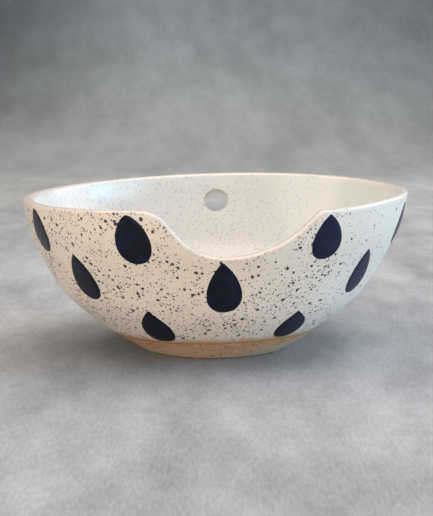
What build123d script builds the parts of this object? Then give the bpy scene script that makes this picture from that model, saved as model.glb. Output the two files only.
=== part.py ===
from build123d import *

import math
import os

# Yarn bowl: a hand-thrown stoneware bowl with a dip in the front of its rim and a round hole in the
# wall opposite, glazed inside and out, with dark glaze drops let into the coat.
# Frame: millimetres, +Z up, origin at the centre of the foot on the surface the bowl stands on.
# The dip faces -Y and the hole +Y. An azimuth is measured from -Y, positive towards +X.

# Bowl
rim_radius = 85.4
rim_height = 68.8
rim_tilt = 0.009  # rise of the rim for each millimetre towards +X
foot_radius = 32.7
wall_at_lip = 4.6
wall_at_foot = 6.0
floor_height = 7.6
lip_rounding = 2.15
foot_rounding = 1.2
recess_radius = 23.0  # turned hollow under the foot
recess_depth = 1.0
recess_rounding = 0.5
flare = [(43.9, 6.9), (63.5, 22.7), (71.5, 33.1), (77.1, 43.4), (81.5, 53.7)]  # radius, height
rim_flare = 11.0  # degrees off upright
spare_height = 7.0  # wall above the rim, thrown long and trimmed off

# Glaze
glaze_thickness = 0.4
glaze_line = 7.8  # height where the glaze stops above the bare foot
drop_proud = 0.2

# Dip in the rim, seen from the front
dip_centre = 3.8
dip_lowest = 50.3
dip_left_slope = 47.7  # degrees
dip_right_slope = 43.5
dip_left_radius = 24.0
dip_right_radius = 47.5
left_shoulder_radius = 13.0
right_shoulder_radius = 4.0

# Hole in the wall opposite the dip
hole_radius = 5.6
hole_azimuth = 179.2
hole_height = 54.5  # on the outer face
hole_edge_rounding = 1.2

# Drops: azimuth, height of the centre, length along the wall and lean to the right, row by row
drop_rows = {
    "upper": {
        "width": 14.5,
        "drops": [
            (32.8, 56.2, 19.4, -3), (75.5, 56.2, 19.2, -2), (116.0, 56.6, 19.8, 3), (156.0, 55.8, 19.4, -4),
            (201.0, 56.2, 20.0, 2), (249.0, 56.4, 19.4, -3), (297.5, 55.4, 19.0, -6), (336.8, 56.0, 20.4, -8),
        ],
    },
    "middle": {
        "width": 14.2,
        "drops": [
            (3.0, 36.8, 25.4, -5), (53.9, 39.0, 22.4, -6), (94.0, 37.6, 22.8, 2), (136.0, 38.2, 22.4, -3),
            (178.5, 34.8, 22.2, 3), (224.0, 37.4, 23.0, -4), (270.0, 38.0, 22.4, 1), (314.2, 38.5, 22.6, -3),
        ],
    },
    "lower": {
        "width": 13.8,
        "drops": [
            (34.3, 17.6, 21.5, -10), (94.0, 16.8, 21.6, 3), (153.0, 17.6, 21.4, -4),
            (213.0, 17.2, 22.0, 2), (274.0, 17.6, 21.6, -3), (336.0, 17.5, 23.6, 2),
        ],
    },
}
drop_tip_angle = 38.0  # half of the angle at the tip, degrees
drop_reach = 3.0  # how far a drop's outline is carried through the skin of the wall, each way

curve_steps = 9
far = 2 * rim_radius


def rim_at(x):
    return rim_height + rim_tilt * x


def slope(degrees):
    return math.tan(math.radians(degrees))


def wall_curve():
    """The outside of the glazed wall, as radius and height, from the foot to above the rim."""
    above = (rim_radius + slope(rim_flare) * spare_height, rim_height + spare_height)
    return Spline((foot_radius, 0), *flare, (rim_radius, rim_height), above)


def set_in(at_foot, at_lip):
    """Points beside the wall curve, set in from it by a depth that varies from foot to lip."""
    curve = wall_curve()
    points = []
    for step in range(curve_steps):
        along = step / (curve_steps - 1)
        inward = (curve % along).rotate(Axis.Z, 90)
        points.append((curve @ along) + inward * (at_foot + (at_lip - at_foot) * along))
    return points


def outer_edge(depth):
    """The wall's outer line at a depth under the glaze, brought down to the ground."""
    points = set_in(depth, depth)
    return Spline(Vector(points[0].X, 0), *points[1:])


def wall_blank(coat):
    """The turned bowl, taller than its rim, with every face set in by the coat's thickness."""
    outside = outer_edge(coat)
    floor = (0, floor_height - coat)
    above_foot = set_in(wall_at_foot - coat, wall_at_lip - coat)[2:]
    inside = Spline(floor, *above_foot, tangents=[(1, 0), (slope(rim_flare), 1)])
    ends = [Line((0, 0), outside @ 0), Line(outside @ 1, inside @ 1), Line(floor, (0, 0))]
    return revolve(Plane.XZ * make_face([outside, inside, *ends]), Axis.Z)


def rim_line(coat):
    """The rim seen from the front: straight, down into the dip, and up again."""
    left_run = dip_left_radius * slope(dip_left_slope / 2)
    right_run = dip_right_radius * slope(dip_right_slope / 2)
    left = dip_centre - left_run
    right = dip_centre + right_run
    left_top = left - (rim_at(left) - dip_lowest) / (slope(dip_left_slope) + rim_tilt)
    right_top = right + (rim_at(right) - dip_lowest) / (slope(dip_right_slope) - rim_tilt)
    corners = [
        (-far, rim_at(-far)), (left_top, rim_at(left_top)), (left, dip_lowest),
        (right, dip_lowest), (right_top, rim_at(right_top)), (far, rim_at(far)),
    ]
    radii = [left_shoulder_radius, dip_left_radius, dip_right_radius, right_shoulder_radius]
    return FilletPolyline(*[(x, z - coat) for x, z in corners], radius=radii)


def rim_cutter(coat):
    """All that is above the rim. The front half follows the dip and the back half is straight."""
    line = rim_line(coat)
    start, end = line @ 0, line @ 1
    over = Polyline(end, (far, far), (-far, far), start)
    front = extrude(Plane.XZ * make_face([line, over]), far)
    back = extrude(Plane.XZ * make_face([Line(start, end), over]), -far)
    return front + back


def wall_plane(azimuth, height):
    """A plane on the outer face of the wall, facing outwards, with its Y axis up the wall."""
    curve = wall_curve()
    low, high = 0.0, 1.0
    while high - low > 1e-6:
        middle = (low + high) / 2
        low, high = (middle, high) if (curve @ middle).Y < height else (low, middle)
    spot = curve @ low
    outward = (curve % low).rotate(Axis.Z, -90)
    turn = math.radians(azimuth)
    across = Vector(math.sin(turn), -math.cos(turn), 0)
    place = across * spot.X + Vector(0, 0, spot.Y)
    normal = across * outward.X + Vector(0, 0, outward.Y)
    return Plane(place, x_dir=(math.cos(turn), math.sin(turn), 0), z_dir=normal)


def bowl(coat):
    """The bowl with its dip, hole and rounded edges, with every face set in by the coat."""
    body = wall_blank(coat) - rim_cutter(coat)
    above = dip_lowest - wall_at_lip
    lip = body.edges().filter_by(GeomType.BSPLINE).filter_by(lambda edge: edge.center().Z > above)
    body = fillet(lip, lip_rounding - coat)
    body -= wall_plane(hole_azimuth, hole_height) * Cylinder(hole_radius + coat, 6 * wall_at_lip)
    round_hole = 2 * math.pi * (hole_radius + coat)
    mouths = body.edges().filter_by(lambda edge: abs(edge.length - round_hole) < 1 and edge.center().Y > 0)
    return fillet(mouths, hole_edge_rounding - coat)


def clay_body():
    """The fired clay, bare round the foot, with a hollow turned under it."""
    body = bowl(glaze_thickness)
    foot_edge = body.edges().filter_by(GeomType.CIRCLE).sort_by(Axis.Z)[0]
    body = fillet(foot_edge, foot_rounding)
    body -= Cylinder(recess_radius, 2 * recess_depth)
    recess = body.edges().filter_by(GeomType.CIRCLE)
    recess = recess.filter_by(lambda edge: abs(edge.radius - recess_radius) < 0.01)
    return fillet(recess.sort_by(Axis.Z)[0], recess_rounding)


def drop_face(width, length):
    """A teardrop with its tip up, centred on its own height."""
    side = width / 2
    tip = Vector(0, length / 2)
    waist = side - length / 2
    lean = math.radians(drop_tip_angle)
    right = Spline(tip, (side, waist), tangents=[(math.sin(lean), -math.cos(lean)), (0, -1)])
    left = Spline((-side, waist), tip, tangents=[(0, 1), (math.sin(lean), math.cos(lean))])
    return make_face([right, ThreePointArc((side, waist), (0, -length / 2), (-side, waist)), left])


def drop_prisms():
    """The outline of each drop, carried through the outer skin of the wall."""
    prisms = {}
    for row, drops in drop_rows.items():
        for count, (azimuth, height, length, lean) in enumerate(drops["drops"], start=1):
            face = wall_plane(azimuth, height) * Rot(0, 0, -lean) * drop_face(drops["width"], length)
            prisms[f"drop_{row}_{count}"] = extrude(face, drop_reach, both=True)
    return prisms


def drop_skin():
    """The layer that the drops are cut from: from the clay to just proud of the glaze."""
    inner = outer_edge(glaze_thickness)
    outer = outer_edge(-drop_proud)
    ends = [Line(inner @ 0, outer @ 0), Line(inner @ 1, outer @ 1)]
    return revolve(Plane.XZ * make_face([inner, outer, *ends]), Axis.Z)


def glaze_coat(clay, prisms):
    """The glaze on every face of the clay above the foot, with a window for each drop."""
    below = Pos(0, 0, glaze_line - far) * Box(2 * far, 2 * far, 2 * far)
    coat = bowl(0) - clay - below
    for prism in prisms.values():
        coat -= prism
    return coat


def main():
    os.makedirs("parts", exist_ok=True)
    clay = clay_body()
    prisms = drop_prisms()
    skin = drop_skin()
    parts = {"clay_body": clay, "glaze_coat": glaze_coat(clay, prisms)}
    for name, prism in prisms.items():
        parts[name] = skin & prism
    for name, part in parts.items():
        part.label = name
        export_step(part, f"parts/{name}.step")
        print(name, round(part.volume), "mm3")


main()
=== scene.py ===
import math

import bpy
import numpy as np
from mathutils import Matrix, Vector


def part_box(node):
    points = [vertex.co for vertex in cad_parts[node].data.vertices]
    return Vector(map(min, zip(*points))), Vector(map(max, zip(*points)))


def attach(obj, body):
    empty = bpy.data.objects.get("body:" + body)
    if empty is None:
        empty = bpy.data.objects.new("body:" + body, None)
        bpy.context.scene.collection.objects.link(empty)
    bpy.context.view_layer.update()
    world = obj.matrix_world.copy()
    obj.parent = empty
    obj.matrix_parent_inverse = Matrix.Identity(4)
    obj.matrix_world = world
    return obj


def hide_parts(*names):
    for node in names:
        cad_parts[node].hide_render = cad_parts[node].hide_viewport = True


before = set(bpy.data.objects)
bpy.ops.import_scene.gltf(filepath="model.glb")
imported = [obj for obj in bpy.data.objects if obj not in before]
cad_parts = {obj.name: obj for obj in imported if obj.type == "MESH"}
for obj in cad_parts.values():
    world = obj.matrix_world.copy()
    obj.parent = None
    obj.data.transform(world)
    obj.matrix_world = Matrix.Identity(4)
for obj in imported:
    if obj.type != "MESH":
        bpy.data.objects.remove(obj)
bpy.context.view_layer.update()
glazeLow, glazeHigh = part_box("glaze_coat")

# Everything is in metres. Azimuth 0 is the front of the bowl, where the dip is, and grows towards +X.
mm = 0.001
rimSpare = 0.1 * mm  # the thrown rim is this much fuller than the CAD one
halfWidth = (glazeHigh.x - glazeLow.x) / 2 + rimSpare
rimHeight = 0.81 * halfWidth


def smoothCurve(xs, ys, closed=False):
    # natural cubic through a few points, as a function; closed=True joins its ends over 360 degrees
    xs, ys = np.array(xs, float), np.array(ys, float)
    if closed:
        xs = np.concatenate([xs - 360, xs, xs + 360])
        ys = np.tile(ys, 3)
    gaps = np.diff(xs)
    slopes = np.diff(ys) / gaps
    count = len(xs)
    system = np.eye(count)
    right = np.zeros(count)
    for i in range(1, count - 1):
        system[i, i - 1:i + 2] = gaps[i - 1], 2 * (gaps[i - 1] + gaps[i]), gaps[i]
        right[i] = 6 * (slopes[i] - slopes[i - 1])
    bends = np.linalg.solve(system, right)

    def value(at):
        at = np.asarray(at, float)
        i = np.clip(np.searchsorted(xs, at) - 1, 0, count - 2)
        a, b = (xs[i + 1] - at) / gaps[i], (at - xs[i]) / gaps[i]
        curve = ((a ** 3 - a) * bends[i] + (b ** 3 - b) * bends[i + 1]) * gaps[i] ** 2 / 6
        return a * ys[i] + b * ys[i + 1] + curve
    return value


def easeStep(low, high, at):
    share = np.clip((at - low) / (high - low), 0, 1)
    return share * share * (3 - 2 * share)


def makePiece(name, points, faces, node, material):
    # a closed smooth mesh that stands for one CAD node
    mesh = bpy.data.meshes.new(name)
    mesh.from_pydata([tuple(p) for p in points], [], [tuple(f) for f in faces])
    mesh.validate()
    mesh.shade_smooth()
    piece = bpy.data.objects.new(name, mesh)
    bpy.context.scene.collection.objects.link(piece)
    mesh.materials.append(material)
    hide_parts(node)
    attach(piece, "root")
    return piece


def addLayer(piece, name, values):
    # a number for each point of the mesh, which the material reads
    layer = piece.data.attributes.new(name, "FLOAT", "POINT")
    layer.data.foreach_set("value", np.asarray(values, np.float32))


view = {
    "distance": 7.0,  # all in bowl half-widths
    "rise": 5.66,  # degrees above the rim
    "aim": (0.0155, 0.0, 0.452),
    "sidestep": -0.0103,
    "roll": -0.45,  # degrees
    "lens": 93.3,
    "nearest": 0.01,  # metres
}


def makeCamera():
    rise = math.radians(view["rise"])
    place = np.array([
        view["sidestep"] * halfWidth,
        -view["distance"] * math.cos(rise) * halfWidth,
        rimHeight + view["distance"] * math.sin(rise) * halfWidth,
    ])
    data = bpy.data.cameras.new("camera")
    data.lens = view["lens"]
    data.clip_start = view["nearest"]
    camera = bpy.data.objects.new("camera", data)
    camera.location = place
    look = Vector(np.array(view["aim"]) * halfWidth - place)
    turn = look.to_track_quat("-Z", "Y").to_matrix()
    roll = Matrix.Rotation(math.radians(view["roll"]), 3, "Z")
    camera.rotation_euler = (turn @ roll).to_euler()
    bpy.context.scene.collection.objects.link(camera)
    bpy.context.scene.camera = camera


makeCamera()
print("camera placed")


bowl = {
    # share of the rim's height, share of the half-width, up the outside
    "flare": [(0, 0.398), (0.03, 0.432), (0.10, 0.521), (0.20, 0.626), (0.33, 0.747), (0.48, 0.842),
              (0.63, 0.906), (0.78, 0.960), (0.93, 0.990), (1.0, 1.0), (1.08, 1.009)],
    "lean": 0.0253,  # the wall stands a little to the right of its foot
    "footShift": 1.1 * mm,  # and the foot back to the right
    "footBlend": 14 * mm,  # height over which that shift dies away
    "lipThickness": 4.6 * mm,
    "lipRise": 1.3 * mm,  # height of the lip's rounding
    "footThickness": 6.0 * mm,
    "glaze": 0.4 * mm,  # depth of the glaze
    "wobble": 0.10 * mm,
    "wobbleFrom": 4 * mm,  # heights between which the unevenness comes in
    "wobbleTo": 25 * mm,
    "ringPitch": 2.6 * mm,  # faint throwing rings
    "ringDepth": 0.02 * mm,
    "beadWidth": 1.2 * mm,  # the glaze's edge is drawn in over this length
    "beadDepth": 0.12,  # by this share of its depth
    "lipFade": 2 * mm,  # the lip's colour fades into the wall's over this length
    "lipFullness": 0.75,
    "traceSteps": 2400,
    "columns": 576,  # points round the bowl
    "wallRows": 64,
    "lipRows": 16,
    "floorRows": 18,
    "floorHeight": 7.6 * mm,
    "floorStart": 9.0 * mm,  # height on the outside from which the floor is swept in
    "floorSweep": 3.2,  # the higher, the flatter the floor
}

rim = {
    # azimuth, height of the rim: thrown by hand, so it rises and falls a little
    "heights": [(-135, 67.8 * mm), (-90, 67.3 * mm), (-45, 67.9 * mm), (-18, 68.9 * mm), (34, 67.9 * mm),
                (62, 69.3 * mm), (92, 69.1 * mm), (135, 69.7 * mm), (180, 69.4 * mm)],
    "dipCentre": 3.8 * mm,
    "dipLowest": 50.3 * mm,
    "leftSlope": 47.7,  # degrees
    "rightSlope": 43.5,
    "leftRadius": 24.0 * mm,
    "rightRadius": 47.5 * mm,
    "leftShoulder": 13.0 * mm,
    "rightShoulder": 4.0 * mm,
    "leftAzimuth": -18.0,  # where the rim is level again on each side of the dip
    "rightAzimuth": 33.0,
    "settleSteps": 12,  # rounds of working out where the straight cut meets the wall
}

hole = {
    "azimuth": 179.2,
    "height": 54.5 * mm,
    "radius": 5.7 * mm,
    "rounding": 1.2 * mm,
    "windowColumns": 13,  # each way from the middle
    "windowRows": 9,
    "windowShares": (0.2, 0.4, 0.6, 0.8),  # rings between the window's edge and the hole
    "roundingRows": 6,
    "lipFrom": 0.4,  # the lip's colour at the start of the rounding, from none to all
    "tunnelShares": (0.42, 0.58),
}

foot = {
    "glazeLine": 8.8 * mm,
    "lineWave": 0.9 * mm,
    "waves": [(1, 0.35, 0.8), (2, 2.0, 0.35), (5, 0.0, 0.15)],  # waves round the foot, phase, share
    "clayStep": 0.2,  # share of the glaze's depth that is left at its edge
    "clayStepTo": 5 * mm,
    "rounding": 1.2 * mm,
    "recessRadius": 23.0 * mm,
    "recessDepth": 1.0 * mm,
    "recessSlope": 0.5 * mm,
    "edgeRows": 7,
    "recessRows": 4,
    "recessShares": (0.8, 0.55, 0.3, 0.12),  # rings over its flat, by their reach
}


def traceWall():
    # the outside of the wall as a table of length, radius, height and outward normal
    shares = np.array(bowl["flare"])
    curve = smoothCurve(shares[:, 0] * rimHeight, shares[:, 1] * halfWidth)
    height = np.linspace(0, shares[-1, 0] * rimHeight, bowl["traceSteps"])
    radius = curve(height)
    step = np.hypot(np.diff(radius), np.diff(height))
    length = np.concatenate([[0], np.cumsum(step)])
    tangent = np.stack([np.gradient(radius, length), np.gradient(height, length)])
    tangent /= np.hypot(*tangent)
    return {"length": length, "radius": radius, "height": height, "tangent": tangent}


wall = traceWall()


def onWall(length):
    radius = np.interp(length, wall["length"], wall["radius"])
    height = np.interp(length, wall["length"], wall["height"])
    acrossR = np.interp(length, wall["length"], wall["tangent"][1])
    acrossZ = -np.interp(length, wall["length"], wall["tangent"][0])
    return radius, height, acrossR, acrossZ


def lengthAt(height):
    return np.interp(height, wall["height"], wall["length"])


def thicknessAt(length):
    share = np.clip(length / lengthAt(rimHeight), 0, 1)
    return bowl["footThickness"] + (bowl["lipThickness"] - bowl["footThickness"]) * share


def leanAt(height):
    # how far the wall's middle has drifted to the right
    settled = bowl["footShift"] * (1 - easeStep(0, bowl["footBlend"], height))
    return bowl["lean"] * (height - rimHeight / 2) + settled


def place(azimuth, radius, height):
    # turns azimuth, radius and height into a point, with the hand-made unevenness of the wall
    wave = np.sin(3 * azimuth + 0.7) * 0.6 + np.sin(5 * azimuth + 2.1 + height * 40) * 0.4
    ring = np.sin(height / bowl["ringPitch"] + 2 * np.sin(azimuth))
    fade = easeStep(bowl["wobbleFrom"], bowl["wobbleTo"], height)
    radius = radius + (wave * bowl["wobble"] + ring * bowl["ringDepth"]) * fade
    across = radius * np.sin(azimuth) + leanAt(height)
    return np.stack([across, -radius * np.cos(azimuth), height + 0 * radius], -1)


def wallPoint(azimuth, length, depth):
    radius, height, acrossR, acrossZ = onWall(length)
    return place(azimuth, radius - depth * acrossR, height - depth * acrossZ)


def roundedLine(corners, radii, steps=24):
    # a run of straight lines with an arc at each inner corner, as x and z
    line = [np.array(corners[0])]
    for before, paintedFalloffGrey, after, radius in zip(corners, corners[1:], corners[2:], radii):
        paintedFalloffGrey = np.array(paintedFalloffGrey)
        arm = (np.array(before) - paintedFalloffGrey) / np.linalg.norm(np.array(before) - paintedFalloffGrey)
        leg = (np.array(after) - paintedFalloffGrey) / np.linalg.norm(np.array(after) - paintedFalloffGrey)
        half = math.acos(np.clip(arm @ leg, -1, 1)) / 2
        middle = (arm + leg) / np.linalg.norm(arm + leg)
        centre = paintedFalloffGrey + middle * radius / math.sin(half)
        start = paintedFalloffGrey + arm * radius / math.tan(half) - centre
        end = paintedFalloffGrey + leg * radius / math.tan(half) - centre
        sweep = math.pi - 2 * half
        for i in range(steps + 1):
            t = i / steps
            spoke = (math.sin((1 - t) * sweep) * start + math.sin(t * sweep) * end) / math.sin(sweep)
            line.append(centre + spoke)
    line.append(np.array(corners[-1]))
    return np.array(line)


def rimTop(azimuth):
    # height of the crest of the lip at each azimuth
    heights = np.array(rim["heights"])
    level = smoothCurve(heights[:, 0], heights[:, 1], closed=True)
    straight = level(np.degrees(azimuth))
    leftRise, rightRise = (math.tan(math.radians(rim[k])) for k in ("leftSlope", "rightSlope"))
    left = rim["dipCentre"] - rim["leftRadius"] * math.tan(math.radians(rim["leftSlope"]) / 2)
    right = rim["dipCentre"] + rim["rightRadius"] * math.tan(math.radians(rim["rightSlope"]) / 2)
    leftLevel, rightLevel = level(rim["leftAzimuth"]), level(rim["rightAzimuth"])
    leftTop = left - (leftLevel - rim["dipLowest"]) / leftRise
    rightTop = right + (rightLevel - rim["dipLowest"]) / rightRise
    corners = [(-halfWidth, leftLevel), (leftTop, leftLevel), (left, rim["dipLowest"]),
               (right, rim["dipLowest"]), (rightTop, rightLevel), (halfWidth, rightLevel)]
    radii = [rim["leftShoulder"], rim["leftRadius"], rim["rightRadius"], rim["rightShoulder"]]
    line = roundedLine(corners, radii)
    top = straight
    for _ in range(rim["settleSteps"]):
        # the dip is cut straight in from the front, so its x depends on the radius there
        radius = onWall(lengthAt(top))[0] - bowl["lipThickness"] / 2
        x = radius * np.sin(azimuth)
        cut = np.interp(x, line[:, 0], line[:, 1])
        flat = np.interp(x, [leftTop, rightTop], [leftLevel, rightLevel])
        dip = straight + cut - flat
        top = np.where(np.cos(azimuth) > 0, dip, straight)
    return top


azimuths = np.radians(np.linspace(-180, 180, bowl["columns"], endpoint=False))
wallShare = np.linspace(0, 1, bowl["wallRows"] + 1)
wallShare = wallShare + 0.04 * np.sin(2 * math.pi * wallShare) / math.pi  # closer together at the ends
crest = rimTop(azimuths)
print("rim from", round(crest.min() / mm, 1), "to", round(crest.max() / mm, 1), "mm")


def lipEnds():
    # lengths at which the outer and the inner face of the wall stop and the lip's rounding begins
    radius = onWall(lengthAt(crest))[0]
    slope = np.gradient(np.concatenate([crest[-2:], crest, crest[:2]]))[2:-2]
    slope = slope / (radius * (azimuths[1] - azimuths[0]))
    level = crest - bowl["lipRise"] * np.sqrt(1 + slope ** 2)
    insideHeight = wall["height"] + thicknessAt(wall["length"]) * wall["tangent"][0]
    return lengthAt(level), np.interp(level, insideHeight, wall["length"])


def glazeStart(azimuth):
    # where the glaze begins, which wavers round the foot
    wave = sum(np.sin(times * azimuth + phase) * share for times, phase, share in foot["waves"])
    return lengthAt(foot["glazeLine"] + foot["lineWave"] * wave)


def sunk(coat, length):
    # how deep the clay lies below the glaze: next to nothing at the foot, where the glaze runs thin
    deepening = easeStep(0, foot["clayStepTo"], length - glazeStart(azimuths))
    return coat * (foot["clayStep"] + (1 - foot["clayStep"]) * deepening)


def faceAt(length, depth):
    # a point under the outside, and the way up along the wall there
    radius, height, acrossR, acrossZ = onWall(length)
    return np.array([radius - depth * acrossR, height - depth * acrossZ]), np.array([-acrossZ, acrossR])


def thrownSheet(coat, start, bead=0.0):
    # rows of points from the start length up the outside, over the lip, down the inside to the floor
    count = bowl["columns"]
    topOutside, topInside = lipEnds()
    floorStart = lengthAt(bowl["floorStart"])
    rows, inside, lip = [], [], []

    def addRow(points, isInside, isLip):
        rows.append(points)
        inside.append(np.full(count, isInside))
        lip.append(np.broadcast_to(isLip, count))

    def nearLip(distance):
        return 0.5 * (1 - easeStep(0, bowl["lipFade"], distance))

    for t in wallShare:
        length = start + (topOutside - start) * t
        depth = sunk(coat, length) + bead * (1 - easeStep(0, bowl["beadWidth"], length - start))
        addRow(wallPoint(azimuths, length, depth), 0.0, nearLip(topOutside - length))
    outer, outerWay = faceAt(topOutside, sunk(coat, topOutside))
    inner, innerWay = faceAt(topInside, thicknessAt(topInside) - coat)
    rise = (crest - coat - (outer[1] + inner[1]) / 2) / bowl["lipFullness"]
    outerArm = outer + outerWay * rise / outerWay[1]
    innerArm = inner + innerWay * rise / innerWay[1]
    for i in range(1, bowl["lipRows"]):
        t = i / bowl["lipRows"]
        r, z = (1 - t) ** 3 * outer + 3 * t * (1 - t) ** 2 * outerArm \
            + 3 * t * t * (1 - t) * innerArm + t ** 3 * inner
        addRow(place(azimuths, r, z), t, 0.5 + 0.5 * math.sin(math.pi * t))
    for t in wallShare:
        length = topInside + (floorStart - topInside) * t
        depth = thicknessAt(length) - coat
        addRow(wallPoint(azimuths, length, depth), 1.0, nearLip(topInside - length))
    edgeR, edgeZ = faceAt(floorStart, thicknessAt(floorStart) - coat)[0]
    floorZ = bowl["floorHeight"] - coat
    for i in range(1, bowl["floorRows"]):
        t = i / bowl["floorRows"]
        z = floorZ + (edgeZ - floorZ) * (1 - t) ** bowl["floorSweep"]
        addRow(place(azimuths, edgeR * (1 - t) + 0 * azimuths, z + 0 * azimuths), 1.0, 0.0)
    return {"rows": rows, "inside": inside, "lip": lip, "start": np.broadcast_to(start, count),
            "topOutside": topOutside, "topInside": topInside,
            "pole": place(np.array(0.0), np.array(0.0), np.array(floorZ))}


class Skin:
    # gathers points and faces into one closed mesh
    def __init__(self):
        self.points, self.faces, self.inside, self.lip = [], [], [], []

    def add(self, points, inside=0.0, lip=0.0):
        points = np.asarray(points).reshape(-1, 3)
        first = len(self.points)
        self.points.extend(points)
        self.inside.extend(np.broadcast_to(inside, len(points)))
        self.lip.extend(np.broadcast_to(lip, len(points)))
        return np.arange(first, first + len(points))

    def band(self, lower, upper, skip=()):
        # quads between two rings that run the same way
        count = len(lower)
        for i in range(count):
            j = (i + 1) % count
            if i not in skip:
                self.faces.append((lower[i], lower[j], upper[j], upper[i]))

    def fan(self, row, tip):
        # triangles from a ring to the point in its middle
        count = len(row)
        for i in range(count):
            self.faces.append((row[i], row[(i + 1) % count], tip))


def sheetInto(skin, sheet, coat, flip=False):
    # lays a sheet's rows into the skin, with the round hole let through both faces of its wall
    ids = [skin.add(points, inside, lip)
           for points, inside, lip in zip(sheet["rows"], sheet["inside"], sheet["lip"])]
    firstFace = len(skin.faces)
    centreLength = lengthAt(hole["height"])
    centreAzimuth = math.radians(hole["azimuth"])
    holeRadius = onWall(centreLength)[0]
    step = azimuths[1] - azimuths[0]
    count = bowl["columns"]
    middle = int(round((centreAzimuth - azimuths[0]) / step)) % count
    columns = [(middle + i) % count for i in range(-hole["windowColumns"], hole["windowColumns"] + 1)]
    innerFirst = bowl["wallRows"] + bowl["lipRows"]

    def lengthOf(row, column):
        start, end = sheet["start"][column], sheet["topOutside"][column]
        if row >= innerFirst:
            start, end, row = sheet["topInside"][column], lengthAt(bowl["floorStart"]), row - innerFirst
        return start + (end - start) * wallShare[row]

    def window(first):
        rows = range(first, first + bowl["wallRows"] + 1)
        nearest = min(rows, key=lambda row: abs(lengthOf(row, middle) - centreLength))
        return nearest - hole["windowRows"], nearest + hole["windowRows"]

    windows = [window(0), window(innerFirst)]
    for i in range(len(ids) - 1):
        cut = any(low <= i < high for low, high in windows)
        skin.band(ids[i], ids[i + 1], skip=set(columns[:-1]) if cut else ())
    skin.fan(ids[-1], skin.add(sheet["pole"], 1.0)[0])

    def edgeOf(low, high):
        # the window's edge, anticlockwise, and each point's place sideways and up from the hole's centre
        loop = [(low, c) for c in columns[:-1]] + [(i, columns[-1]) for i in range(low, high)]
        loop += [(high, c) for c in columns[:0:-1]] + [(i, columns[0]) for i in range(high, low, -1)]
        places = []
        for row, column in loop:
            turn = (azimuths[column] - centreAzimuth + math.pi) % (2 * math.pi) - math.pi
            places.append((turn * holeRadius, lengthOf(row, column) - centreLength))
        places = np.array(places)
        order = np.argsort(np.arctan2(places[:, 1], places[:, 0]))
        return np.array([ids[row][column] for row, column in loop])[order], places[order]

    def ringAt(sideways, up, depth, inside, fromInside=False, lip=0.0):
        length = centreLength + up
        if fromInside:
            depth = thicknessAt(length) - depth
        return skin.add(wallPoint(centreAzimuth + sideways / holeRadius, length, depth), inside, lip)

    radius, rounding = hole["radius"] + coat, hole["rounding"] - coat
    outerEdge, outerPlaces = edgeOf(*windows[0])
    innerEdge, innerPlaces = edgeOf(*windows[1])
    angles = np.arctan2(outerPlaces[:, 1], outerPlaces[:, 0])
    circle = np.stack([np.cos(angles), np.sin(angles)], -1)

    def mouth(edge, places, fromInside):
        # rings from the window's edge in to the circle, then round into the wall
        rings = [edge]
        for t in hole["windowShares"]:
            eased = places * (1 - t) + circle * (radius + rounding) * t
            rings.append(ringAt(*eased.T, coat, float(fromInside), fromInside))
        for i in range(hole["roundingRows"] + 1):
            turn = math.pi / 2 * i / hole["roundingRows"]
            reach = circle * (radius + rounding * (1 - math.sin(turn)))
            depth = coat + rounding * (1 - math.cos(turn))
            side = 0.8 if fromInside else 0.2
            rings.append(ringAt(*reach.T, depth, side, fromInside, min(1, hole["lipFrom"] + turn)))
        return rings

    depths = [thicknessAt(centreLength) * t for t in hole["tunnelShares"]]
    tunnel = [ringAt(*(circle * radius).T, depth, 0.5, lip=1.0) for depth in depths]
    rings = mouth(outerEdge, outerPlaces, False) + tunnel + mouth(innerEdge, innerPlaces, True)[::-1]
    for first, second in zip(rings, rings[1:]):
        skin.band(first, second)
    if flip:
        skin.faces[firstFace:] = [face[::-1] for face in skin.faces[firstFace:]]
    return ids


def checkClosed(name, skin):
    # every edge of a closed skin is met once each way
    edges = {}
    for face in skin.faces:
        for a, b in zip(face, face[1:] + face[:1]):
            edges[(a, b)] = edges.get((a, b), 0) + 1
    loose = [edge for edge in edges if edge[::-1] not in edges or edges[edge] > 1]
    print(name, "points", len(skin.points), "faces", len(skin.faces), "open edges", len(loose))


class Wire:
    # one socket of a material, so that shader maths reads as a sum
    def __init__(self, finish, socket):
        self.finish, self.socket = finish, socket

    def maths(self, operation, other, swap=False, clamp=False):
        ends = [other, self] if swap else [self, other]
        settings = {"operation": operation, "use_clamp": clamp}
        return self.finish.node("Math", settings, dict(enumerate(ends)))

    def __add__(self, other):
        return self.maths("ADD", other)

    def __sub__(self, other):
        return self.maths("SUBTRACT", other)

    def __rsub__(self, other):
        return self.maths("SUBTRACT", other, swap=True)

    def __mul__(self, other):
        return self.maths("MULTIPLY", other)

    def __truediv__(self, other):
        return self.maths("DIVIDE", other)

    def __pow__(self, other):
        return self.maths("POWER", other)

    def __gt__(self, other):
        return self.maths("GREATER_THAN", other)

    __radd__ = __add__
    __rmul__ = __mul__

    def clamped(self):
        return self.maths("ADD", 0.0, clamp=True)

    def most(self, other):
        return self.maths("MAXIMUM", other)

    def ease(self, low, high):
        return self.finish.node("MapRange", {"interpolation_type": "SMOOTHSTEP"},
                                {"Value": self, "From Min": low, "From Max": high})


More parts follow.
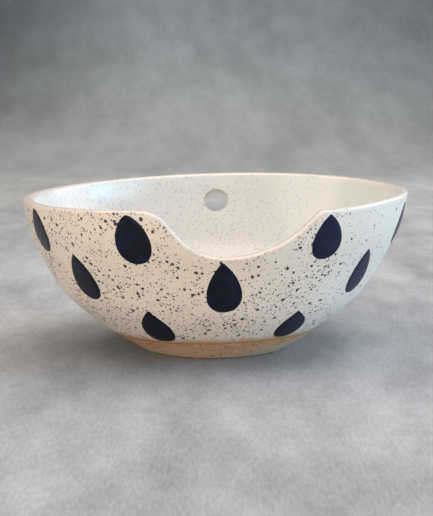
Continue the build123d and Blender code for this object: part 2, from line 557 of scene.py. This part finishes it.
class Finish:
    # one material and the nodes in it
    def __init__(self, name):
        self.material = bpy.data.materials.new(name)
        self.material.use_nodes = True
        self.tree = self.material.node_tree
        self.tree.nodes.clear()

    def node(self, kind, settings=None, sockets=None, output=0):
        made = self.tree.nodes.new("ShaderNode" + kind)
        for key, value in (settings or {}).items():
            setattr(made, key, value)
        for key, value in (sockets or {}).items():
            socket = made.inputs[key]
            if isinstance(value, Wire):
                self.tree.links.new(value.socket, socket)
            elif isinstance(value, tuple) and len(value) == 3 and socket.type == "RGBA":
                socket.default_value = (*value, 1)
            else:
                socket.default_value = value
        return Wire(self, made.outputs[output])

    def mix(self, share, first, second):
        # two colours; sockets 6 and 7 are the colour ends of a Mix node
        return self.node("Mix", {"data_type": "RGBA"}, {0: share, 6: first, 7: second}, 2)

    def layer(self, name):
        return self.node("Attribute", {"attribute_name": name}, None, "Fac")

    def place(self):
        return self.node("TexCoord", None, None, "Object")

    def axis(self, position, name):
        return self.node("SeparateXYZ", None, {"Vector": position}, name)

    def stretched(self, position, shares):
        return self.node("VectorMath", {"operation": "MULTIPLY"}, {0: position, 1: shares})

    def noise(self, position, size, detail=2.0, rough=0.5, output=0):
        sockets = {"Vector": position, "Scale": 1 / size, "Detail": detail, "Roughness": rough}
        return self.node("TexNoise", None, sockets, output)

    def shifted(self, position, size, amount):
        # the position pushed about by a soft noise, so that what follows it isn't regular
        push = self.noise(position, size, 1.0, output="Color")
        centred = self.node("VectorMath", {"operation": "SUBTRACT"}, {0: push, 1: (0.5, 0.5, 0.5)})
        scaled = self.node("VectorMath", {"operation": "SCALE"}, {0: centred, "Scale": amount})
        return self.node("VectorMath", {"operation": "ADD"}, {0: position, 1: scaled})

    def bump(self, height, distance):
        return self.node("Bump", None, {"Height": height, "Distance": distance, "Strength": 1.0})

    def finished(self, **sockets):
        shader = self.node("BsdfPrincipled", None, {k.replace("_", " "): v for k, v in sockets.items()})
        out = self.tree.nodes.new("ShaderNodeOutputMaterial")
        self.tree.links.new(shader.socket, out.inputs["Surface"])
        return self.material


glazeLook = {
    "warm": (0.775, 0.645, 0.53),
    "cool": (0.785, 0.675, 0.57),
    # a lighter glaze colour: painted light for the lower wall
    "paintedLowLight": (0.90, 0.775, 0.66),
    # the same glaze, darker and greyer inside the bowl: painted shade for the hollow
    "inside": (0.615, 0.60, 0.56),
    "lip": (0.49, 0.45, 0.405),
    "speck": (0.016, 0.019, 0.040),
    "fineSpeck": (0.10, 0.095, 0.12),
    "insideSpeck": (0.24, 0.27, 0.36),
    "roughness": 0.30,
    # cell size, smallest and largest radius, share of the cells that hold a speck
    "specks": {
        "large": (2.4 * mm, 0.38 * mm, 0.90 * mm, 0.55),
        "medium": (1.15 * mm, 0.24 * mm, 0.48 * mm, 0.60),
        "small": (0.75 * mm, 0.14 * mm, 0.28 * mm, 0.70),
    },
    "cloudSize": 28 * mm,
    "crowdSize": 17 * mm,
    "lowBand": (18 * mm, 46 * mm),  # heights over which the lower wall's painted light and thicker spatter fade out
    "thinToRight": (40 * mm, 62 * mm),  # where the spatter thins out, from the middle
    "thickToLeft": (30 * mm, 60 * mm),
    "raggedSize": 1.6 * mm,  # how the outlines of the specks are pulled about
    "raggedness": 0.9 * mm,
    "thinColour": (0.60, 0.33, 0.16),  # clay showing through the glaze's lower edge
    "thinBand": (-0.8 * mm, 2.2 * mm),
    "thinWander": 3.0 * mm,
    "bump": 0.03 * mm,
}

speckEdge = 0.09 * mm  # how soft the edge of a speck is


def specks(finish, position, size, low, high, share, crowd):
    # dots of glaze oxide: each cell of the pattern may hold one, with its own size
    cell = finish.node("TexVoronoi", {"feature": "F1"}, {"Vector": position, "Scale": 1 / size}, "Color")
    distance = finish.node("TexVoronoi", {"feature": "F1"}, {"Vector": position, "Scale": 1 / size})
    chance = finish.node("SeparateColor", None, {"Color": cell}, "Red")
    wide = finish.node("SeparateColor", None, {"Color": cell}, "Green")
    reach = (low + (high - low) * (wide ** 1.5)) / size
    held = 1 - (chance > crowd * share)
    return ((reach - distance) / (speckEdge / size)).clamped() * held


def makeGlaze():
    finish = Finish("speckledGlaze")
    look = glazeLook
    position = finish.place()
    inside, lip, rise = finish.layer("inside"), finish.layer("lip"), finish.layer("rise")
    cloud = finish.noise(position, look["cloudSize"], 3.0)
    across, up = (finish.axis(position, name) for name in "XZ")
    low = 1 - up.ease(*look["lowBand"])
    # the spatter is thicker to the left and low down, and thins out to the right
    crowd = 0.35 + 1.3 * finish.noise(position, look["crowdSize"], 2.0).ease(0.3, 0.7)
    fewer = 0.85 * across.ease(*look["thinToRight"])
    crowd = crowd * (1 - fewer + 0.3 * (-1 * across).ease(*look["thickToLeft"]))
    crowd = crowd * (1 + 0.35 * low)
    uneven = finish.shifted(position, look["raggedSize"], look["raggedness"])
    dots = {name: specks(finish, uneven, *spec, crowd) for name, spec in look["specks"].items()}
    strong = dots["large"].most(dots["medium"])
    faint = dots["small"]
    base = finish.mix(cloud.ease(0.35, 0.65), look["warm"], look["cool"])
    # painted light: the lower wall is lightened towards the foot, standing in for the light that reaches it
    # there
    base = finish.mix(low * 0.9, base, look["paintedLowLight"])
    base = finish.mix(faint * 0.70, base, look["fineSpeck"])
    outer = finish.mix(strong * 0.96, base, look["speck"])
    soft = (dots["large"] * 0.55).most(dots["medium"]).most(faint * 0.6)
    # painted shade: the inside takes the darker copy of the glaze colour, with fainter specks
    inner = finish.mix(soft * 0.5, look["inside"], look["insideSpeck"])
    colour = finish.mix(inside, outer, inner)
    # the glaze breaks thin and warm over the lip, and thins to bare clay at the foot
    colour = finish.mix(lip.ease(0.40, 0.95) * 0.85, colour, look["lip"])
    edge = finish.noise(position, 4.5 * mm, 4.0, 0.6)
    thin = (1 - (rise - edge * look["thinWander"]).ease(*look["thinBand"])) * (1 - inside)
    colour = finish.mix(thin * 0.92, colour, look["thinColour"])
    worn = finish.noise(position, 6 * mm, 3.0)
    roughness = look["roughness"] - 0.14 * inside + 0.08 * worn + 0.25 * thin
    skin = finish.noise(position, 2.2 * mm, 2.0) * 0.5 + strong * 0.4
    normal = finish.bump(skin, look["bump"])
    return finish.finished(Base_Color=colour, Roughness=roughness, Normal=normal)


dropLook = {
    "colour": (0.0030, 0.0042, 0.0120),
    # paler blue, reached in random pools and in the painted reflection to the right
    "pale": (0.012, 0.018, 0.060),
    "roughness": 0.24,
    "poolSize": 5 * mm,
    "paintedReflectionBand": (15 * mm, 60 * mm),  # over which the dark glaze turns bluer to the right: painted reflection of the cool light there
    "rippleSize": 3.0 * mm,
    "bump": 0.05 * mm,
    "shine": 0.22,
}


def makeDropGlaze():
    finish = Finish("darkGlaze")
    position = finish.place()
    look = dropLook
    pool = finish.noise(finish.shifted(position, 9 * mm, 6 * mm), look["poolSize"], 4.0, 0.6)
    across = finish.axis(position, "X")
    # the dark glaze is paler in random pools, and bluer to the right as painted reflection of the cool light
    # there
    poolsAndPaintedReflection = (pool.ease(0.42, 0.75) * 0.45 + across.ease(*look["paintedReflectionBand"]) * 0.40).clamped()
    colour = finish.mix(poolsAndPaintedReflection, look["colour"], look["pale"])
    roughness = look["roughness"] + 0.14 * finish.noise(position, 2.5 * mm, 4.0)
    normal = finish.bump(finish.noise(position, look["rippleSize"], 3.0), look["bump"])
    return finish.finished(Base_Color=colour, Roughness=roughness, Normal=normal,
                           Specular_IOR_Level=look["shine"])


clayLook = {
    # the light tan of the bare clay, lifted somewhat as painted light for the foot band, which faces down
    # into shade
    "colour": (0.70, 0.47, 0.305),
    "flashed": (0.63, 0.30, 0.12),
    "grog": (0.05, 0.025, 0.018),
    "grogSpecks": (1.25 * mm, 0.18 * mm, 0.50 * mm, 0.8),  # as for the glaze's specks
    "mottleSize": 11 * mm,
    "streakSize": 3.5 * mm,
    "flashBand": (-1.5 * mm, 2.6 * mm),
    "flashWander": 6.5 * mm,
    "grainSize": 0.5 * mm,
    "bump": 0.10 * mm,
}


def makeClay():
    finish = Finish("firedClay")
    position = finish.place()
    rise = finish.layer("rise")
    look = clayLook
    mottle = finish.noise(position, look["mottleSize"], 5.0, 0.62)
    streak = finish.noise(finish.shifted(position, 5 * mm, 5 * mm), look["streakSize"], 4.0, 0.6)
    # the bare clay flashed orange-brown next to the glaze
    flash = (rise + look["flashWander"] * mottle).ease(*look["flashBand"]) * streak.ease(0.25, 0.60)
    colour = finish.mix(flash, look["colour"], look["flashed"])
    uneven = finish.shifted(position, 1.2 * mm, 0.9 * mm)
    crowd = mottle.ease(0.38, 0.56) * 1.3
    grog = specks(finish, uneven, *look["grogSpecks"], crowd)
    colour = finish.mix(grog * 0.88, colour, look["grog"])
    grain = finish.noise(position, look["grainSize"], 4.0, 0.65)
    normal = finish.bump(grain + grog * 0.3, look["bump"])
    return finish.finished(Base_Color=colour, Roughness=0.55 + 0.3 * grain, Normal=normal)


def makeGlazeCoat(material):
    # the glaze as a closed shell: its face, and its back where it meets the clay
    skin = Skin()
    start = glazeStart(azimuths)
    outer = thrownSheet(0.0, start, bead=bowl["beadDepth"] * bowl["glaze"])
    under = thrownSheet(bowl["glaze"], start)
    outerIds = sheetInto(skin, outer, 0.0)
    underIds = sheetInto(skin, under, bowl["glaze"], flip=True)
    skin.band(underIds[0], outerIds[0])
    checkClosed("glaze coat", skin)
    piece = makePiece("glazeCoat", skin.points, skin.faces, "glaze_coat", material)
    addLayer(piece, "inside", skin.inside)
    addLayer(piece, "lip", skin.lip)
    addLayer(piece, "rise", riseAbove(np.array(skin.points)))


def riseAbove(points):
    # how far each point is above the edge of the glaze
    azimuth = np.arctan2(points[:, 0] - leanAt(points[:, 2]), -points[:, 1])
    line = onWall(glazeStart(azimuth))[1]
    return points[:, 2] - line


def makeClayBody(material):
    skin = Skin()
    coat = bowl["glaze"]
    first = lengthAt(foot["rounding"])
    sheet = thrownSheet(coat, first)
    ids = sheetInto(skin, sheet, coat)
    (edgeR, edgeZ), (alongR, alongZ) = faceAt(first, foot["clayStep"] * coat)
    above = ids[0]
    cornerR = edgeR - edgeZ * alongR / alongZ
    floorR = cornerR - foot["rounding"]
    rows = []
    for i in range(1, foot["edgeRows"] + 1):
        # the edge that it stands on, rounded from the wall's own slant
        t = i / foot["edgeRows"]
        r = (1 - t) ** 2 * edgeR + 2 * t * (1 - t) * cornerR + t * t * floorR
        rows.append((r, (1 - t) ** 2 * edgeZ))
    ringR = foot["recessRadius"] + foot["recessSlope"]
    rows += [((floorR + foot["recessRadius"]) / 2, 0), (ringR, 0)]
    for i in range(1, foot["recessRows"] + 1):
        turn = math.pi / 2 * i / foot["recessRows"]
        r = ringR - foot["recessDepth"] * math.sin(turn)
        rows.append((r, foot["recessDepth"] * (1 - math.cos(turn))))
    rows += [(foot["recessRadius"] * t, foot["recessDepth"]) for t in foot["recessShares"]]
    for r, z in rows:
        here = skin.add(place(azimuths, r + 0 * azimuths, z + 0 * azimuths))
        skin.band(here, above)
        above = here
    tip = skin.add(place(np.array(0.0), np.array(0.0), np.array(foot["recessDepth"])))[0]
    skin.fan(above[::-1], tip)
    checkClosed("clay body", skin)
    piece = makePiece("clayBody", skin.points, skin.faces, "clay_body", material)
    addLayer(piece, "rise", riseAbove(np.array(skin.points)))


drops = {
    "points": 72,
    "proud": 0.28 * mm,
    "sunk": 0.25 * mm,
    "unsteadiness": 0.010,
    "wavers": (2, 3, 5, 8, 13),  # waves round the outline
    "topShares": (0.25, 0.5, 0.7, 0.83, 0.91, 0.96, 0.988, 1.0),  # rings over the top, by their reach
    "underShares": (0.7, 0.35),
    "edgeFullness": 9,
    "seed": 7,
    # azimuth, height of the middle, width, length, lean to the right in degrees and how drawn-out the tip is
    "upper": [(32.8, 56.7, 14.3, 19.5, -3, 0.65), (75.5, 56.3, 14.3, 19.2, -2, 0.70),
              (116.0, 56.6, 14.8, 19.8, 3, 0.60), (156.0, 55.8, 14.2, 19.4, -4, 0.75),
              (201.0, 56.2, 14.6, 20.0, 2, 0.65), (249.0, 56.4, 14.2, 19.4, -3, 0.80),
              (297.5, 56.4, 13.4, 19.3, -12, 0.40), (336.8, 56.8, 15.3, 21.4, -11, 0.30)],
    "middle": [(3.0, 37.0, 14.2, 25.6, -5, 0.75), (53.9, 39.1, 12.8, 22.5, -8, 0.70),
               (94.0, 37.6, 14.2, 22.8, 2, 0.75), (136.0, 38.2, 14.4, 22.4, -3, 0.65),
               (178.5, 34.8, 14.0, 22.2, 3, 0.80), (224.0, 37.4, 14.5, 23.0, -4, 0.70),
               (270.0, 38.0, 14.1, 22.4, 1, 0.75), (314.1, 38.6, 14.2, 22.7, -3, 0.72)],
    "lower": [(34.2, 17.6, 13.7, 21.5, -14, 0.85), (94.0, 16.8, 13.9, 21.6, 3, 0.75),
              (153.0, 17.6, 13.6, 21.4, -4, 0.70), (213.0, 17.2, 14.0, 22.0, 2, 0.80),
              (274.0, 17.6, 13.8, 21.6, -3, 0.75), (336.0, 17.6, 13.9, 24.0, 2, 0.75)],
}


def dropOutline(width, length, lean, drawnOut, draw):
    # a teardrop round its own middle, sideways and up the wall, drawn with an unsteady hand
    turn = np.linspace(0, 2 * math.pi, drops["points"], endpoint=False)
    narrow = np.sin(turn) * np.abs(np.sin(turn / 2)) ** drawnOut
    sideways = narrow / narrow.max() * width / 2
    up = np.cos(turn) * length / 2
    waver = 1
    for k in drops["wavers"]:
        size = draw.normal(0, drops["unsteadiness"] / k ** 0.5)
        waver = waver + size * np.sin(k * turn + draw.uniform(0, 6.28))
    sideways, up = sideways * waver, up * waver
    c, s = math.cos(math.radians(lean)), math.sin(math.radians(lean))
    return sideways * c + up * s, up * c - sideways * s


def makeDrop(name, node, spot, material, draw):
    azimuth, height, width, length, lean, drawnOut = spot
    sideways, up = dropOutline(width * mm, length * mm, lean, drawnOut, draw)
    centre = lengthAt(height * mm)
    skin = Skin()

    def ring(share, depth):
        spread = centre + up * share
        turn = math.radians(azimuth) + sideways * share / onWall(spread)[0]
        return skin.add(wallPoint(turn, spread, depth))

    middle = np.array(math.radians(azimuth)), np.array(centre)
    top = skin.add(wallPoint(*middle, -drops["proud"]))[0]
    rings = [ring(t, -drops["proud"] * (1 - t ** drops["edgeFullness"]) ** 0.5) for t in drops["topShares"]]
    rings += [ring(t, drops["sunk"]) for t in (1.0, *drops["underShares"])]
    bottom = skin.add(wallPoint(*middle, drops["sunk"]))[0]
    skin.fan(rings[0][::-1], top)
    for outer, inner in zip(rings, rings[1:]):
        skin.band(outer, inner)
    skin.fan(rings[-1], bottom)
    makePiece(name, skin.points, skin.faces, node, material)


def makeDrops(material):
    draw = np.random.default_rng(drops["seed"])
    for row in ("upper", "middle", "lower"):
        for i, spot in enumerate(drops[row], start=1):
            makeDrop(f"drop{row.title()}{i}", f"drop_{row}_{i}", spot, material, draw)
        print(row, "drops", len(drops[row]))


makeGlazeCoat(makeGlaze())
makeClayBody(makeClay())
makeDrops(makeDropGlaze())
print("bowl made")


studio = {
    "floor": (0.448, 0.460, 0.474),
    "backdrop": (0.69, 0.69, 0.68),
    # the dark grey the backdrop is painted towards at its top and sides: painted shade
    "paintedFalloffGrey": (0.17, 0.172, 0.174),
    "world": (0.30, 0.70, 1.0),
    "worldStrength": 0.09,
    "grainSize": 1.1 * mm,
    "mottleSize": 45 * mm,
    "backdropFrom": (0.30, 0.92),  # metres behind the bowl over which the floor turns into the backdrop
    # metres out to each side and up over which the backdrop is painted darker: painted shade for the light's
    # falloff
    "leftFall": (0.06, 0.31),
    "rightFall": (0.10, 0.34),
    "topFall": (0.03, 0.20),
    "sheetWidth": 4.8,
    "sheetFront": -1.6,
    "sweepStart": 0.9,
    "sweepRadius": 0.5,
    "sheetTop": 1.8,
    "height": {"window": 1.0, "pane": 0.45, "fill": 0.2},  # of a square-cornered light, by its width
    # place in half-widths, size in metres, colour, power in watts
    "lights": {
        "overhead": ((0.0, 1.0, 9.0), 1.2, (1.0, 0.915, 0.82), 10.4),
        "overFront": ((0.0, -6.0, 8.0), 0.9, (1.0, 0.82, 0.92), 1.7),
        "window": ((8.0, 4.0, 4.5), 0.7, (1.0, 0.95, 0.99), 4.9),
        "sky": ((9.5, -0.5, 1.1), 0.34, (0.18, 0.60, 1.0), 4.8),
        "lamp": ((-8.6, -2.5, 4.0), 0.7, (1.0, 0.95, 0.85), 2.6),
        "fill": ((-1.0, -9.5, 0.95), 0.8, (1.0, 0.93, 0.82), 3.0),
        "pane": ((9.0, -3.2, 3.0), 0.42, (0.50, 0.80, 1.0), 1.1),
    },
}


def makePaper():
    finish = Finish("paper")
    position = finish.place()
    mottle = finish.noise(finish.stretched(position, (1.0, 0.35, 1.0)), studio["mottleSize"], 6.0, 0.66)
    grain = finish.noise(finish.stretched(position, (1.0, 0.2, 1.0)), studio["grainSize"], 3.0, 0.7)
    x, y, z = (finish.axis(position, name) for name in "XYZ")
    far = y.ease(*studio["backdropFrom"])
    # painted shade: the backdrop is darkened at its top and sides, most of all on the left, for the light's
    # falloff
    left, right = (-1 * x).ease(*studio["leftFall"]), x.ease(*studio["rightFall"])
    sides = (0.62 * left + 0.20 * right) * z.ease(-0.01, 0.07)
    dark = (sides + 0.24 * z.ease(*studio["topFall"])).clamped()
    backdrop = finish.mix(dark, studio["backdrop"], studio["paintedFalloffGrey"])
    colour = finish.mix(far, studio["floor"], backdrop)
    shade = (1 - mottle.ease(0.2, 0.8)) * (0.42 - 0.12 * far) + grain * (0.44 - 0.30 * far)
    # painted light: the floor is lightened on the left, where the lamp shines from
    shade = shade - 0.06 * (1 - x.ease(-0.15, 0.15))
    colour = finish.mix(shade, colour, (0.0, 0.0, 0.0))
    return finish.finished(Base_Color=colour, Roughness=0.95)


def makeSheet(material):
    # one sheet: flat under the bowl, then swept up behind it
    start, radius = studio["sweepStart"], studio["sweepRadius"]
    profile = [(studio["sheetFront"], 0.0), (-0.6, 0.0), (0.6, 0.0)]
    sweep = np.radians(range(0, 91, 6))
    profile += [(start + radius * math.sin(t), radius * (1 - math.cos(t))) for t in sweep]
    profile += [(start + radius, 1.0), (start + radius, studio["sheetTop"])]
    across = np.linspace(-studio["sheetWidth"] / 2, studio["sheetWidth"] / 2, 13)
    points = [(x, y, z) for y, z in profile for x in across]
    wide = len(across)
    faces = [(r * wide + c, r * wide + c + 1, (r + 1) * wide + c + 1, (r + 1) * wide + c)
             for r in range(len(profile) - 1) for c in range(wide - 1)]
    mesh = bpy.data.meshes.new("floor")
    mesh.from_pydata(points, [], faces)
    mesh.shade_smooth()
    mesh.materials.append(material)
    floor = bpy.data.objects.new("floor", mesh)
    bpy.context.scene.collection.objects.link(floor)


def makeLights():
    world = bpy.data.worlds.new("studio")
    world.use_nodes = True
    background = world.node_tree.nodes["Background"]
    background.inputs["Color"].default_value = (*studio["world"], 1)
    background.inputs["Strength"].default_value = studio["worldStrength"]
    bpy.context.scene.world = world

    for name, (spot, size, colour, power) in studio["lights"].items():
        data = bpy.data.lights.new(name, "AREA")
        data.shape = "RECTANGLE" if name in studio["height"] else "DISK"
        data.size = size
        data.size_y = size * studio["height"].get(name, 1)
        data.color = colour
        data.energy = power
        light = bpy.data.objects.new(name, data)
        light.location = Vector(spot) * halfWidth
        aim = Vector((0, 0, rimHeight / 2)) - light.location
        light.rotation_euler = aim.to_track_quat("-Z", "Y").to_euler()
        bpy.context.scene.collection.objects.link(light)


makeSheet(makePaper())
makeLights()
bpy.context.scene.view_settings.view_transform = "Standard"
print("studio lit")
